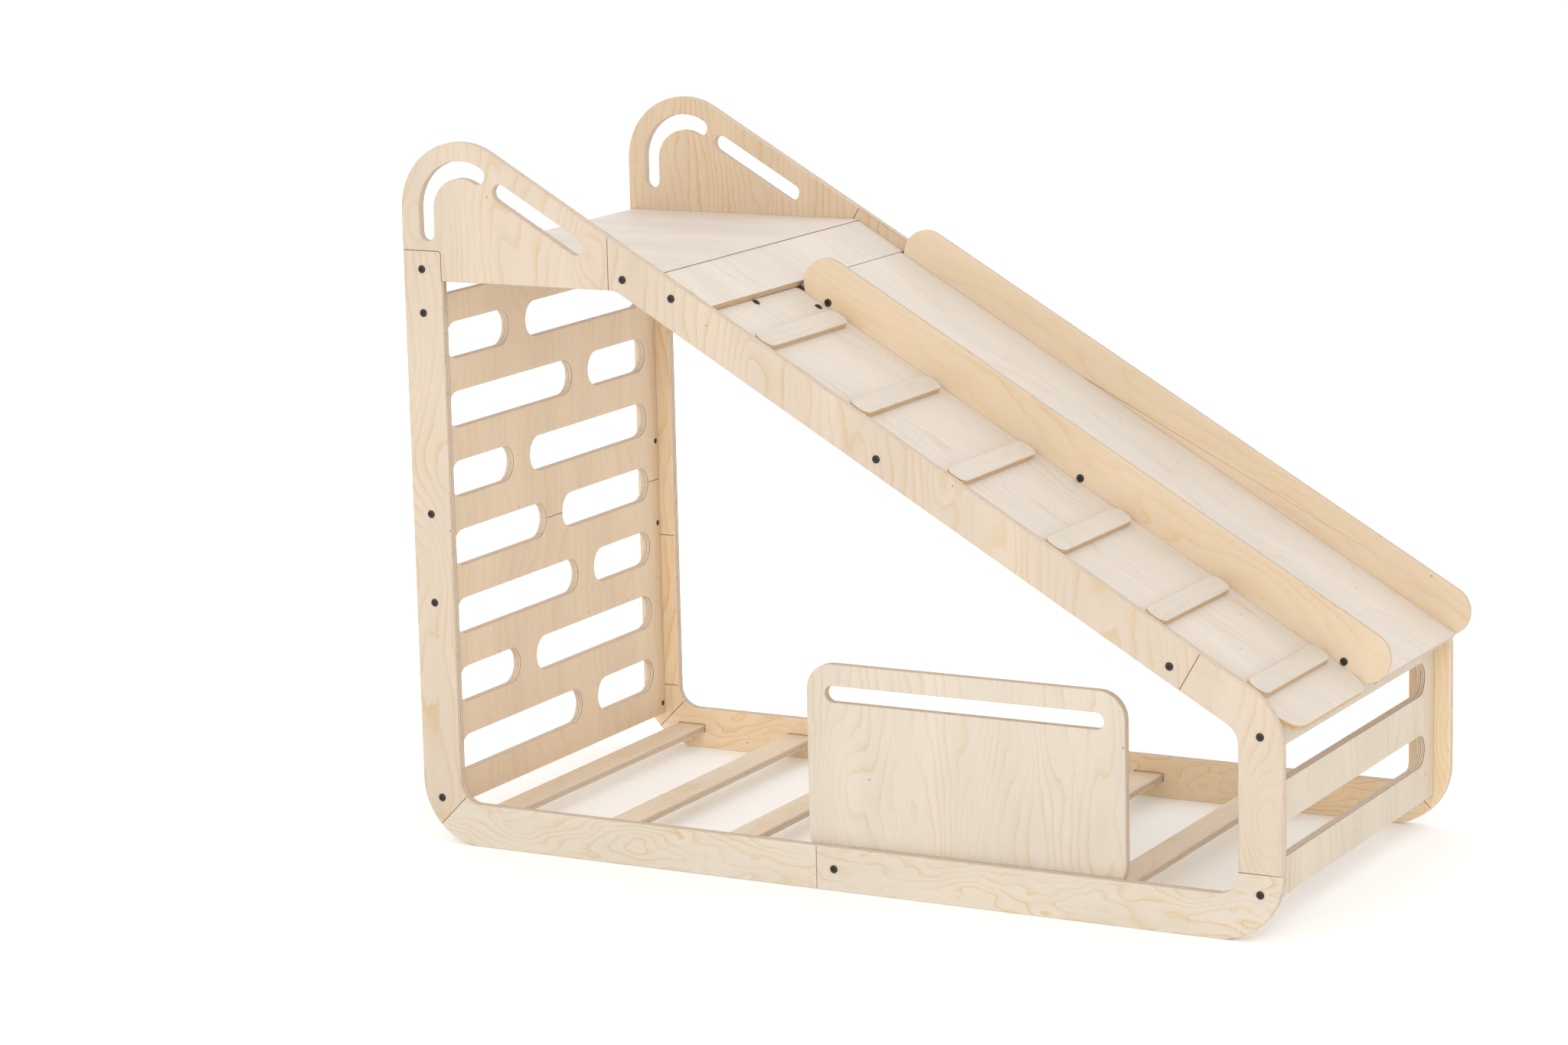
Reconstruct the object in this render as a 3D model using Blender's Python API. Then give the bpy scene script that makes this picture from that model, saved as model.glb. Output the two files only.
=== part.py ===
# Birch-plywood toddler bed frame with a slide, a climbing ramp and a climbing wall.
# Metres, +Z up.  X runs along the bed from the climbing wall to the slide's low end,
# -Y is the ramp side.  The origin is the centre of the footprint on the floor.
import bmesh
import bpy
from math import acos, atan2, ceil, cos, hypot, pi, radians, sin, tan
from mathutils import Matrix, Vector

MM = 0.001

# ---- driving dimensions, millimetres ----
LENGTH = 1704.0          # side frame, end to end
WIDTH = 836.0            # over both side frames
PLY = 18.0               # side frames, wall, end panel, deck, guard
THIN = 12.0              # incline, ramp, slide, rungs, battens
HALF = PLY / 2.0         # half-lap depth
GAP = 0.3                # between neighbouring pieces
MEMBER = 80.0            # width of posts and bottom rails
SLOPE = radians(30.18)   # fall of the beams, ramp and slide
C_TOP = 1397.0           # height where the beam's top line meets x = 0
C_LOW = 1308.5           # the same for its lower line
C_WALK = 1373.4          # the same for the top of the incline and slide
R_OUT = 120.0            # outer corners of the side frame
R_IN = 40.0              # inner corners
R_HEAD = 125.0           # round top of the head panel
R_THROAT = 44.0          # where the head panel runs into the beam
HEAD_BOTTOM = 1051.5     # underside of the head panel
POST_TOP = 1106.0        # outer seam between post and head panel
POST_TOP_IN = 956.0      # the same seam on the inner face
SPLICE = (123.0, 429.5)  # strip let into the inner face of the tall post
HEAD_SEAM_X = 429.0      # outer seam, head panel to beam
HEAD_SEAM_S = 575.0      # inner seam, measured down the slope
FOOT_SEAM_S = 1788.5     # outer seam, beam to short post
FOOT_SEAM_IN = 1700.0    # inner seam, beam to short post
TOE_SEAM_Z = 121.0       # outer seam, short post to bottom rail
RAIL_SEAM_X = 820.5      # outer seam in the bottom rail
RAIL_SEAM_IN = 886.0     # inner seam in the bottom rail
ARCH_C = (126.0, 1181.5)  # centre of the hooked hand slot
ARCH_R = 73.5
ARCH_LEG_Z = 1139.0
HAND_W = 31.0            # width of both hand slots
HAND_A = (208.5, 1216.0)
HAND_B = (362.5, 1126.5)
INNER = (PLY + GAP, WIDTH - PLY - GAP)   # clear span between the side frames
WALL_X = (30.0, 48.0)
WALL_Z = (64.0, 542.5, 1018.0)           # bottom, seam, top
SLOT_H = 67.0
SLOT_SHORT = 220.0
SLOT_LONG = 442.0
SLOT_MID = 331.0
SLOT_EDGE = 58.0
SLOT_PITCH = 129.2
DECK_X = (6.0, 508.0)
DECK_Z = (1063.0, 1081.0)
INCLINE_END = 697.0      # down the slope
BED_END = 1989.0
RAIL_Y = (397.0, 409.0)
RAIL_S = (697.2, 1997.2)
RAIL_H = (-24.0, 71.0)   # above and below the walking surface
RAMP_Y = (50.0, 396.6)
RAMP_END = 1985.5
RUNG_Y = (71.0, 376.0)
RUNG_W = 42.0
RUNG_FIRST = 828.2       # lower edge of the first rung
RUNG_PITCH = 215.3
RUNGS = 6
BATTEN_S = (1121.5, 1753.5)
BATTEN_W = 60.0
HEAD_BATTEN_S = (655.0, 790.0)
END_X = (1655.0, 1673.0)
END_Z = (62.0, 371.0, 384.5)             # bottom, top under the ramp, top under the bed
END_SLOT_Y = (62.0, 774.0)
END_SLOT_Z = ((130.0, 190.0), (264.0, 325.0))
SLAT_X = [108.5 + 248.8 * i for i in range(6)]
SLAT_W = 58.0
SLAT_Z = (32.5, 47.5)
GUARD_X = (798.0, 1410.0)
GUARD_Z = (50.0, 407.0)
GUARD_R = 50.0
GUARD_SLOT = (834.0, 1371.0, 338.0, 368.0)
HEAD_R = 7.25            # bolt head
HEAD_T = 2.6
SOCKET = 4.0             # across flats
SHANK_R = 3.0
HOLE_R = 3.3
SHANK_L = 30.0
CHORD = 0.16             # largest flat error on a curve

FACE = (0.80, 0.68, 0.50)
STEEL = (0.03, 0.03, 0.032)
KEEP = []


# ---- outlines ----
def steps(radius, sweep):
    """Number of straight pieces that follow an arc."""
    return max(2, ceil(abs(sweep) / (2.0 * acos(1.0 - CHORD / max(radius, 1.0)))))


def arc(cx, cy, radius, start, end):
    """Points on an arc, both ends included."""
    n = steps(radius, end - start)
    turn = [start + (end - start) * i / n for i in range(n + 1)]
    return [(cx + radius * cos(a), cy + radius * sin(a)) for a in turn]


def rounded(corners):
    """Closed outline from (x, z, radius) corners."""
    out = []
    n = len(corners)
    for i in range(n):
        x, z, r = corners[i]
        if r <= 0.0:
            out.append((x, z))
            continue
        ax, az = corners[i - 1][0] - x, corners[i - 1][1] - z
        bx, bz = corners[(i + 1) % n][0] - x, corners[(i + 1) % n][1] - z
        la, lb = hypot(ax, az), hypot(bx, bz)
        ax, az, bx, bz = ax / la, az / la, bx / lb, bz / lb
        half = acos(max(-1.0, min(1.0, ax * bx + az * bz))) / 2.0
        reach = r / tan(half)
        mx, mz = ax + bx, az + bz
        lm = hypot(mx, mz)
        cx, cz = x + mx / lm * r / sin(half), z + mz / lm * r / sin(half)
        a0 = atan2(z + az * reach - cz, x + ax * reach - cx)
        a1 = atan2(z + bz * reach - cz, x + bx * reach - cx)
        sweep = (a1 - a0 + pi) % (2.0 * pi) - pi
        out += arc(cx, cz, r, a0, a0 + sweep)
    return out


def stadium(a, b, width):
    """Round-ended slot outline from centre a to centre b."""
    r = width / 2.0
    t = atan2(b[1] - a[1], b[0] - a[0])
    return arc(b[0], b[1], r, t - pi / 2, t + pi / 2) + arc(a[0], a[1], r, t + pi / 2, t + 1.5 * pi)


def box_outline(x0, x1, z0, z1, r=0.0):
    """Rectangle with equal corner radii."""
    return rounded([(x0, z0, r), (x1, z0, r), (x1, z1, r), (x0, z1, r)])


def hook_outline():
    """Hand slot that climbs straight and bends over the top."""
    cx, cz = ARCH_C
    r = HAND_W / 2.0
    end = pi / 3.0
    ex, ez = cx + ARCH_R * cos(end), cz + ARCH_R * sin(end)
    out = arc(cx - ARCH_R, ARCH_LEG_Z, r, pi, 2.0 * pi)
    out += arc(cx, cz, ARCH_R - r, pi, end)
    out += arc(ex, ez, r, end + pi, end + 2.0 * pi)[1:-1]
    out += arc(cx, cz, ARCH_R + r, end, pi)
    return out


def slope_point(s, h):
    """(x, z) at a distance down the slope and a height above the walking surface."""
    return (s * cos(SLOPE) + h * sin(SLOPE), C_WALK - s * sin(SLOPE) + h * cos(SLOPE))


# ---- solids ----
def world(x, y, z):
    return Vector(((x - LENGTH / 2.0) * MM, (y - WIDTH / 2.0) * MM, z * MM))


def side_map(u, v, w):
    """Outline in x and z, thickness along y."""
    return world(u, w, v)


def cross_map(u, v, w):
    """Outline in y and z, thickness along x."""
    return world(w, u, v)


def slope_map(u, v, w):
    """Outline in slope distance and y, thickness above the walking surface."""
    x, z = slope_point(u, w)
    return world(x, v, z)


def new_object(name, bm, turn_out=True):
    if turn_out:
        bmesh.ops.recalc_face_normals(bm, faces=bm.faces)
    mesh = bpy.data.meshes.new(name)
    bm.to_mesh(mesh)
    bm.free()
    obj = bpy.data.objects.new(name, mesh)
    bpy.context.scene.collection.objects.link(obj)
    return obj


def prism(name, outline, low, high, place):
    """Solid from a closed outline."""
    bm = bmesh.new()
    lower = [bm.verts.new(place(u, v, low)) for u, v in outline]
    upper = [bm.verts.new(place(u, v, high)) for u, v in outline]
    bm.faces.new(lower)
    bm.faces.new(upper)
    for i in range(len(outline)):
        j = (i + 1) % len(outline)
        bm.faces.new((lower[i], lower[j], upper[j], upper[i]))
    return new_object(name, bm)


def block(name, x, y, z):
    return prism(name, box_outline(x[0], x[1], z[0], z[1]), y[0], y[1], side_map)


def rod(name, base, axis, radius, low, high, sides=14):
    """Round bar along a world direction, distances in millimetres from its base."""
    bm = bmesh.new()
    bmesh.ops.create_cone(bm, cap_ends=True, segments=sides, radius1=radius * MM,
                          radius2=radius * MM, depth=(high - low) * MM)
    turn = Vector((0, 0, 1)).rotation_difference(axis).to_matrix().to_4x4()
    centre = base + axis * ((low + high) / 2.0 * MM)
    bmesh.ops.transform(bm, matrix=Matrix.Translation(centre) @ turn, verts=bm.verts)
    return new_object(name, bm)


def bake(obj):
    """Write an object's modifiers into its mesh."""
    graph = bpy.context.evaluated_depsgraph_get()
    mesh = bpy.data.meshes.new_from_object(obj.evaluated_get(graph))
    old = obj.data
    obj.modifiers.clear()
    obj.data = mesh
    bpy.data.meshes.remove(old)


def combine(obj, other, operation, keep_other=False):
    mod = obj.modifiers.new("join", "BOOLEAN")
    mod.solver = "EXACT"
    mod.operation = operation
    mod.object = other
    bake(obj)
    if not keep_other:
        bpy.data.objects.remove(other)
    return obj


def cut(obj, other):
    return combine(obj, other, "DIFFERENCE")


def tidy(obj):
    """Merge the flat faces that the cuts leave in pieces."""
    bm = bmesh.new()
    bm.from_mesh(obj.data)
    bmesh.ops.remove_doubles(bm, verts=bm.verts, dist=1e-6)
    bmesh.ops.dissolve_limit(bm, angle_limit=radians(0.2), verts=bm.verts, edges=bm.edges)
    bmesh.ops.triangulate(bm, faces=[f for f in bm.faces if len(f.verts) > 4])
    bm.to_mesh(obj.data)
    bm.free()


def finish(obj, name, colour=FACE, roughness=0.55, metallic=0.0):
    """Name the piece and give it a material of its own."""
    tidy(obj)
    obj.name = name
    obj.data.name = name
    mat = bpy.data.materials.new(name)
    mat.use_nodes = True
    shader = mat.node_tree.nodes["Principled BSDF"]
    shader.inputs["Base Color"].default_value = (*colour, 1.0)
    shader.inputs["Roughness"].default_value = roughness
    shader.inputs["Metallic"].default_value = metallic
    obj.data.materials.clear()
    obj.data.materials.append(mat)
    KEEP.append(name)
    return obj


def mirrored(obj, name):
    """The same piece on the far side."""
    bm = bmesh.new()
    bm.from_mesh(obj.data)
    for vert in bm.verts:
        vert.co.y = -vert.co.y
    bmesh.ops.reverse_faces(bm, faces=bm.faces)
    return finish(new_object(name, bm, False), name)


# ---- side frames ----
def frame_outlines():
    t = tan(SLOPE)
    outer = rounded([(0.0, 0.0, R_OUT), (LENGTH, 0.0, R_OUT),
                     (LENGTH, C_TOP - t * LENGTH, R_OUT), (0.0, C_TOP, R_HEAD)])
    x1 = LENGTH - MEMBER
    inner = rounded([(MEMBER, MEMBER, R_IN), (x1, MEMBER, R_IN), (x1, C_LOW - t * x1, R_IN),
                     ((C_LOW - HEAD_BOTTOM) / t, HEAD_BOTTOM, R_THROAT),
                     (MEMBER, HEAD_BOTTOM, 0.0)])
    return outer, inner


def ring(name, y0, y1):
    """Whole side frame between two depths."""
    outer, inner = frame_outlines()
    body = prism(name, outer, y0, y1, side_map)
    for hole in (inner, hook_outline(), stadium(HAND_A, HAND_B, HAND_W)):
        cut(body, prism("hole", hole, y0 - 5.0, y1 + 5.0, side_map))
    return body


def regions():
    """Area of each frame piece on the outer and on the inner half of the board."""
    g = GAP / 2.0
    d = g * 1.4142
    x_far = LENGTH + 96.0
    post_corner = arc(MEMBER - 6.0 - g, POST_TOP - 6.0 - g, 6.0, 0.0, pi / 2)
    head_corner = arc(MEMBER - 6.0 - g, POST_TOP - 6.0 - g, 6.0 + GAP, pi / 2, 0.0)
    left = [(-50.0, -50.0 + d), (100.0, 100.0 + d)]
    post_out = left + [(100.0, HEAD_BOTTOM - 0.3), (MEMBER - g, HEAD_BOTTOM - 0.3)]
    post_out += post_corner + [(-50.0, POST_TOP - g)]
    post_low = left + [(100.0, SPLICE[0] - g), (-50.0, SPLICE[0] - g)]
    post_high = box_outline(-50.0, 100.0, SPLICE[1] + g, POST_TOP_IN - g)
    splice = box_outline(-50.0, 100.0, SPLICE[0] + g, SPLICE[1] - g)
    head_out = [(-50.0, POST_TOP + g)] + head_corner
    head_out += [(MEMBER + g, 1000.0), (HEAD_SEAM_X - g, 1000.0)]
    head_out += [(HEAD_SEAM_X - g, 1500.0), (-50.0, 1500.0)]
    head_in = [(-50.0, POST_TOP_IN + g), (100.0, POST_TOP_IN + g)]
    head_in += [slope_point(HEAD_SEAM_S - g, -150.0), slope_point(HEAD_SEAM_S - g, 150.0)]
    head_in += [(-50.0, 1500.0)]
    beam_out = [(HEAD_SEAM_X + g, 950.0), slope_point(FOOT_SEAM_S - g, -150.0)]
    beam_out += [slope_point(FOOT_SEAM_S - g, 150.0), (HEAD_SEAM_X + g, 1500.0)]
    beam_in = [slope_point(HEAD_SEAM_S + g, -150.0), slope_point(FOOT_SEAM_IN - g, -150.0)]
    beam_in += [slope_point(FOOT_SEAM_IN - g, 150.0), slope_point(HEAD_SEAM_S + g, 150.0)]
    foot_out = [slope_point(FOOT_SEAM_S + g, -150.0), (1450.0, TOE_SEAM_Z + g)]
    foot_out += [(x_far, TOE_SEAM_Z + g), (x_far, 700.0), slope_point(FOOT_SEAM_S + g, 150.0)]
    foot_in = [slope_point(FOOT_SEAM_IN + g, -150.0), (1500.0, LENGTH - 1500.0 + d)]
    foot_in += [(x_far, LENGTH - x_far + d), (x_far, 700.0)]
    foot_in += [slope_point(FOOT_SEAM_IN + g, 150.0)]
    front_out = box_outline(RAIL_SEAM_X + g, x_far, -50.0, TOE_SEAM_Z - g)
    front_in = [(RAIL_SEAM_IN + g, -50.0), (LENGTH + 50.0 - d, -50.0)]
    front_in += [(LENGTH - 204.0 - d, 204.0), (RAIL_SEAM_IN + g, 204.0)]
    rear_out = [(-50.0, -50.0 - d), (RAIL_SEAM_X - g, -50.0 - d)]
    rear_out += [(RAIL_SEAM_X - g, 150.0), (150.0 + d, 150.0)]
    rear_in = [(-50.0, -50.0 - d), (RAIL_SEAM_IN - g, -50.0 - d)]
    rear_in += [(RAIL_SEAM_IN - g, 150.0), (150.0 + d, 150.0)]
    return {"tall_post": (post_out, [post_low, post_high]), "post_splice": (None, [splice]),
            "head_panel": (head_out, [head_in]), "slope_beam": (beam_out, [beam_in]),
            "short_post": (foot_out, [foot_in]), "bottom_rail_front": (front_out, [front_in]),
            "bottom_rail_rear": (rear_out, [rear_in])}


def layer(full, outline, y0, y1):
    """One half of the board inside an outline."""
    part = full.copy()
    part.data = full.data.copy()
    bpy.context.scene.collection.objects.link(part)
    return combine(part, prism("area", outline, y0 - 5.0, y1 + 5.0, side_map), "INTERSECT")


def frame_pieces():
    """Pieces of the near side frame, half-lapped into each other."""
    low = (0.0, HALF - GAP / 2.0)
    high = (HALF + GAP / 2.0, PLY)
    mid = (HALF - 3.0, HALF + 3.0)
    full_low, full_high, full_mid = (ring("ring", *span) for span in (low, high, mid))
    pieces = {}
    for name, (outside, insides) in regions().items():
        body = None if outside is None else layer(full_low, outside, *low)
        for inside in insides:
            inner = layer(full_high, inside, *high)
            if body is None:
                body = inner
                continue
            core = layer(layer_copy(full_mid, outside, mid), inside, *mid)
            combine(body, core, "UNION")
            combine(body, inner, "UNION")
        pieces[name] = body
    for full in (full_low, full_high, full_mid):
        bpy.data.objects.remove(full)
    for obj in [o for o in bpy.data.objects if o.name.startswith("scrap")]:
        bpy.data.objects.remove(obj)
    return pieces


def layer_copy(full, outline, span):
    part = layer(full, outline, *span)
    part.name = "scrap"
    return part


def mortise(piece, x):
    """Slot on the inner face of a bottom rail for the end of a bed slat."""
    half = SLAT_W / 2.0 + 0.6
    cut(piece, block("slot", (x - half, x + half), (HALF, PLY + 5.0),
                     (SLAT_Z[0] - 0.5, SLAT_Z[1] + 0.5)))


# ---- boards between the frames ----
def wall_panel(name, z0, z1):
    """Climbing wall panel with round-ended holds."""
    panel = prism(name, box_outline(INNER[0], INNER[1], z0, z1), *WALL_X, cross_map)
    rows = ["SL", "LS", "SL", "MM", "LS", "SL", "LS"]
    size = {"S": SLOT_SHORT, "L": SLOT_LONG, "M": SLOT_MID}
    r = SLOT_H / 2.0
    for i, row in enumerate(rows):
        z = WALL_Z[1] + (3 - i) * SLOT_PITCH
        if z + r < z0 or z - r > z1:
            continue
        spans = ((SLOT_EDGE, SLOT_EDGE + size[row[0]]),
                 (WIDTH - SLOT_EDGE - size[row[1]], WIDTH - SLOT_EDGE))
        for y0, y1 in spans:
            hold = stadium((y0 + r, z), (y1 - r, z), SLOT_H)
            cut(panel, prism("hold", hold, WALL_X[0] - 5.0, WALL_X[1] + 5.0, cross_map))
    return panel


def end_panel():
    """Low end panel, its top cut to carry the ramp and the slide."""
    y0, y1 = INNER
    top, bed = END_Z[1], END_Z[2]
    b0, b1 = RAIL_Y[1] + 2.0, y1 - THIN - 2.0
    outline = [(y0, END_Z[0]), (y1, END_Z[0]), (y1, top), (b1, top), (b1, bed),
               (b0, bed), (b0, top), (y0, top)]
    panel = prism("end_panel", outline, *END_X, cross_map)
    for z0, z1 in END_SLOT_Z:
        r = (z1 - z0) / 2.0
        slot = stadium((END_SLOT_Y[0] + r, z0 + r), (END_SLOT_Y[1] - r, z0 + r), z1 - z0)
        cut(panel, prism("slot", slot, END_X[0] - 5.0, END_X[1] + 5.0, cross_map))
    return panel


def incline_board():
    """Full-width board from the deck down to the head of the ramp and slide."""
    t = tan(SLOPE)
    x0 = DECK_X[1] + GAP
    outline = [(x0, C_WALK - t * x0 - THIN / cos(SLOPE)),
               slope_point(INCLINE_END - GAP / 2.0, -THIN),
               slope_point(INCLINE_END - GAP / 2.0, 0.0), (x0, C_WALK - t * x0)]
    return prism("incline_board", outline, *INNER, side_map)


def ramp_board():
    y0, y1 = RAMP_Y
    s0, s1 = INCLINE_END + GAP, RAMP_END
    outline = rounded([(s0, y0, 12.0), (s1, y0, 45.0), (s1, y1, 45.0), (s0, y1, 12.0)])
    return prism("ramp_board", outline, -2.0 * THIN, -THIN, slope_map)


def rung(i):
    s1 = RUNG_FIRST + i * RUNG_PITCH
    outline = box_outline(s1 - RUNG_W, s1, RUNG_Y[0], RUNG_Y[1], 18.0)
    return prism("rung", outline, -THIN + GAP, 0.0, slope_map)


def slide_rail(y0, y1):
    """Round-ended side rail of the slide."""
    s0, s1 = RAIL_S
    h0, h1 = RAIL_H
    r = (h1 - h0) / 2.0
    sh = stadium((s0 + r, h0 + r), (s1 - r, h0 + r), h1 - h0)
    return prism("slide_rail", [slope_point(s, h) for s, h in sh], y0, y1, side_map)


def slope_bar(s0, s1, y0, y1, h0, h1):
    return prism("bar", box_outline(s0, s1, y0, y1), h0, h1, slope_map)


def guard():
    panel = prism("guard", box_outline(*GUARD_X, *GUARD_Z, GUARD_R),
                  PLY + GAP, 2.0 * PLY + GAP, side_map)
    x0, x1, z0, z1 = GUARD_SLOT
    r = (z1 - z0) / 2.0
    slot = stadium((x0 + r, z0 + r), (x1 - r, z0 + r), z1 - z0)
    return cut(panel, prism("slot", slot, PLY - 5.0, 2.0 * PLY + 5.0, side_map))


# ---- bolts ----
def bolt(name, base, axis):
    """Low round head with a hexagon socket, and its shank."""
    body = rod("head", base, -axis, HEAD_R, GAP * 0.1, HEAD_T, 24)
    shank = rod("shank", base, axis, SHANK_R, -1.0, SHANK_L, 12)
    combine(body, shank, "UNION")
    cut(body, rod("socket", base, -axis, SOCKET / 1.7321, 0.6, HEAD_T + 1.0, 6))
    return finish(body, name, STEEL, 0.35, 0.9)


def drill(targets, base, axis):
    for piece in targets:
        cut(piece, rod("hole", base, axis, HOLE_R, -5.0, SHANK_L + 2.0, 12))


def build():
    frame = frame_pieces()
    rails = (frame["bottom_rail_rear"], frame["bottom_rail_front"])
    for x in SLAT_X:
        for piece in rails:
            lap = RAIL_SEAM_X < x < RAIL_SEAM_IN
            if lap or (x < RAIL_SEAM_X) == (piece is rails[0]):
                mortise(piece, x)

    lower = wall_panel("climbing_wall_lower", WALL_Z[0], WALL_Z[1] - GAP / 2.0)
    upper = wall_panel("climbing_wall_upper", WALL_Z[1] + GAP / 2.0, WALL_Z[2])
    low_end = end_panel()
    deck = block("deck_board", DECK_X, INNER, DECK_Z)
    incline = incline_board()
    ramp = ramp_board()
    bed = slope_bar(INCLINE_END + GAP / 2.0, BED_END, RAIL_Y[1] + GAP,
                    INNER[1] - THIN - GAP, -THIN, 0.0)
    rail_near = slide_rail(*RAIL_Y)
    rail_far = slide_rail(INNER[1] - THIN, INNER[1])
    top = -2.0 * THIN - GAP
    batten_head = slope_bar(*HEAD_BATTEN_S, *INNER, top - PLY, top)
    battens = [slope_bar(s - BATTEN_W / 2.0, s + BATTEN_W / 2.0, *INNER, top - THIN, top)
               for s in BATTEN_S]
    slats = [block("slat", (x - SLAT_W / 2.0, x + SLAT_W / 2.0),
                   (HALF + 1.0, WIDTH - HALF - 1.0), SLAT_Z) for x in SLAT_X]

    far = {name: piece.copy() for name, piece in frame.items()}
    for name, piece in far.items():
        piece.data = frame[name].data.copy()

    # bolts through the near side frame, each with the pieces it passes through
    f = frame
    bolts = [("post_deck", (39.0, 1072.0), [f["tall_post"], f["head_panel"], deck]),
             ("post_wall_a", (39.0, 992.0), [f["tall_post"], f["head_panel"], upper]),
             ("post_wall_b", (39.0, 620.5), [f["tall_post"], upper]),
             ("post_wall_c", (39.0, 455.0), [f["tall_post"], lower]),
             ("post_wall_d", (39.0, 86.0), [f["tall_post"], lower]),
             ("beam_deck", (458.0, 1072.0), [f["head_panel"], f["slope_beam"], deck]),
             ("beam_incline", slope_point(646.5, -6.0), [f["slope_beam"], incline]),
             ("beam_batten_a", slope_point(BATTEN_S[0], -30.3), [f["slope_beam"], battens[0]]),
             ("beam_batten_b", slope_point(BATTEN_S[1], -30.3),
              [f["slope_beam"], f["short_post"], battens[1]]),
             ("foot_end_a", (1664.0, 359.0), [f["short_post"], low_end]),
             ("foot_end_b", (1664.0, 85.5), [f["short_post"], f["bottom_rail_front"], low_end]),
             ("rail_slat", (SLAT_X[3], 40.0), [rails[0], rails[1], slats[3]])]
    along_y = Vector((0.0, 1.0, 0.0))
    for name, (x, z), targets in bolts:
        drill(targets, world(x, 0.0, z), along_y)
        bolt("bolt_" + name, world(x, 0.0, z), along_y)
    for i, s in enumerate((764.0, 1343.5, 1922.5)):
        x, z = slope_point(s, -4.5)
        drill([rail_near, bed], world(x, RAIL_Y[0], z), along_y)
        bolt("bolt_slide_%d" % (i + 1), world(x, RAIL_Y[0], z), along_y)
    inward = Vector((-sin(SLOPE), 0.0, -cos(SLOPE)))
    for i, (s, y) in enumerate(((760.0, 73.0), (706.0, 223.0), (760.0, 373.0))):
        base = slope_map(s, y, -THIN)
        drill([ramp, batten_head], base, inward)
        bolt("bolt_ramp_%d" % (i + 1), base, inward)

    for name, piece in frame.items():
        finish(piece, "near_" + name)
        mirrored(far[name], "far_" + name)
    for name, piece in (("climbing_wall_lower", lower), ("climbing_wall_upper", upper),
                        ("end_panel", low_end), ("deck_board", deck),
                        ("incline_board", incline), ("ramp_board", ramp),
                        ("slide_bed", bed), ("slide_rail_near", rail_near),
                        ("slide_rail_far", rail_far), ("head_batten", batten_head),
                        ("cross_batten_upper", battens[0]), ("cross_batten_lower", battens[1]),
                        ("bed_guard", guard())):
        finish(piece, name)
    for i, piece in enumerate(slats):
        finish(piece, "bed_slat_%d" % (i + 1))
    for i in range(RUNGS):
        finish(rung(i), "rung_%d" % (i + 1))


def centre_on_floor():
    """Put the origin under the middle of the whole piece."""
    points = [vert.co for obj in bpy.data.objects for vert in obj.data.vertices]
    low = [min(p[i] for p in points) for i in range(3)]
    high = [max(p[i] for p in points) for i in range(3)]
    shift = Vector((-(low[0] + high[0]) / 2.0, -(low[1] + high[1]) / 2.0, -low[2]))
    for obj in bpy.data.objects:
        obj.data.transform(Matrix.Translation(shift))
        obj.data.update()


def main():
    for obj in list(bpy.data.objects):
        bpy.data.objects.remove(obj)
    build()
    for obj in list(bpy.data.objects):
        if obj.name not in KEEP:
            bpy.data.objects.remove(obj)
    centre_on_floor()


main()
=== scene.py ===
import random
from math import cos, pi, radians, sin

import bmesh
import bpy
from mathutils import Matrix, Vector
from mathutils.bvhtree import BVHTree


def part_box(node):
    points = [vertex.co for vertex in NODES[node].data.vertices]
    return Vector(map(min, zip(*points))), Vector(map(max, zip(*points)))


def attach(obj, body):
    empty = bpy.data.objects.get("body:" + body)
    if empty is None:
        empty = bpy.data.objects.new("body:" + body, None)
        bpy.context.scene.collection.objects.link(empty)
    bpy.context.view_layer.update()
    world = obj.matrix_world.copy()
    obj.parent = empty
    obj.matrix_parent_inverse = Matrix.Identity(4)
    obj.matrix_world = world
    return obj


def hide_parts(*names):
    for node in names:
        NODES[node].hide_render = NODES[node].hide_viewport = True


bl_info = {
    "name": "Plywood slide bed",
    "version": (1, 0, 0),
    "blender": (4, 5, 0),
    "location": "3D View > Sidebar > Slide bed",
    "description": "Finishes a birch plywood toddler bed with slide, ramp and climbing wall",
    "category": "Object",
}

MM = 0.001
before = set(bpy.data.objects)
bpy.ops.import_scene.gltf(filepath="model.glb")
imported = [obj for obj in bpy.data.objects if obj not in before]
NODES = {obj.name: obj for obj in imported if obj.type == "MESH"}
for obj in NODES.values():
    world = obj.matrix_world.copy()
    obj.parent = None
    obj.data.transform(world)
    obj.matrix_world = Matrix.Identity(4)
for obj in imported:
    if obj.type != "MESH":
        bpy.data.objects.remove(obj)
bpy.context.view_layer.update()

# The near foot of the climbing wall: millimetre positions count from here.
CORNER = Vector((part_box("near_tall_post")[0].x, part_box("near_tall_post")[0].y, 0.0))
SLOPE = radians(30.18)      # fall of the ramp and the slide

# Sizes in millimetres
PLY = 18.0                  # side frames, wall, end panel, deck, guard and head batten
THIN_PLY = 12.0             # ramp, slide, incline and cross battens
RUNG = 11.7                 # rungs, less the gap that keeps them off the ramp
SLAT = 15.0                 # bed slats
WIDTH = 836.0               # over both side frames
HEAD_RISE = 2.6             # screw heads, above the board
SOCKET_RADIUS = 2.3         # hexagon socket of a screw, to its corners
SOCKET_MOUTH = 2.1          # height of the socket's mouth above the board
SOCKET_DEPTH = 1.5
NUT_INSET = 27.3            # barrel nuts, in from a side frame's outer face

UP = Vector((0.0, 0.0, 1.0))
ALONG = Vector((1.0, 0.0, 0.0))
ACROSS = Vector((0.0, 1.0, 0.0))
FALL = Vector((cos(SLOPE), 0.0, -sin(SLOPE)))
OFF_SLOPE = Vector((sin(SLOPE), 0.0, cos(SLOPE)))

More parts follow.
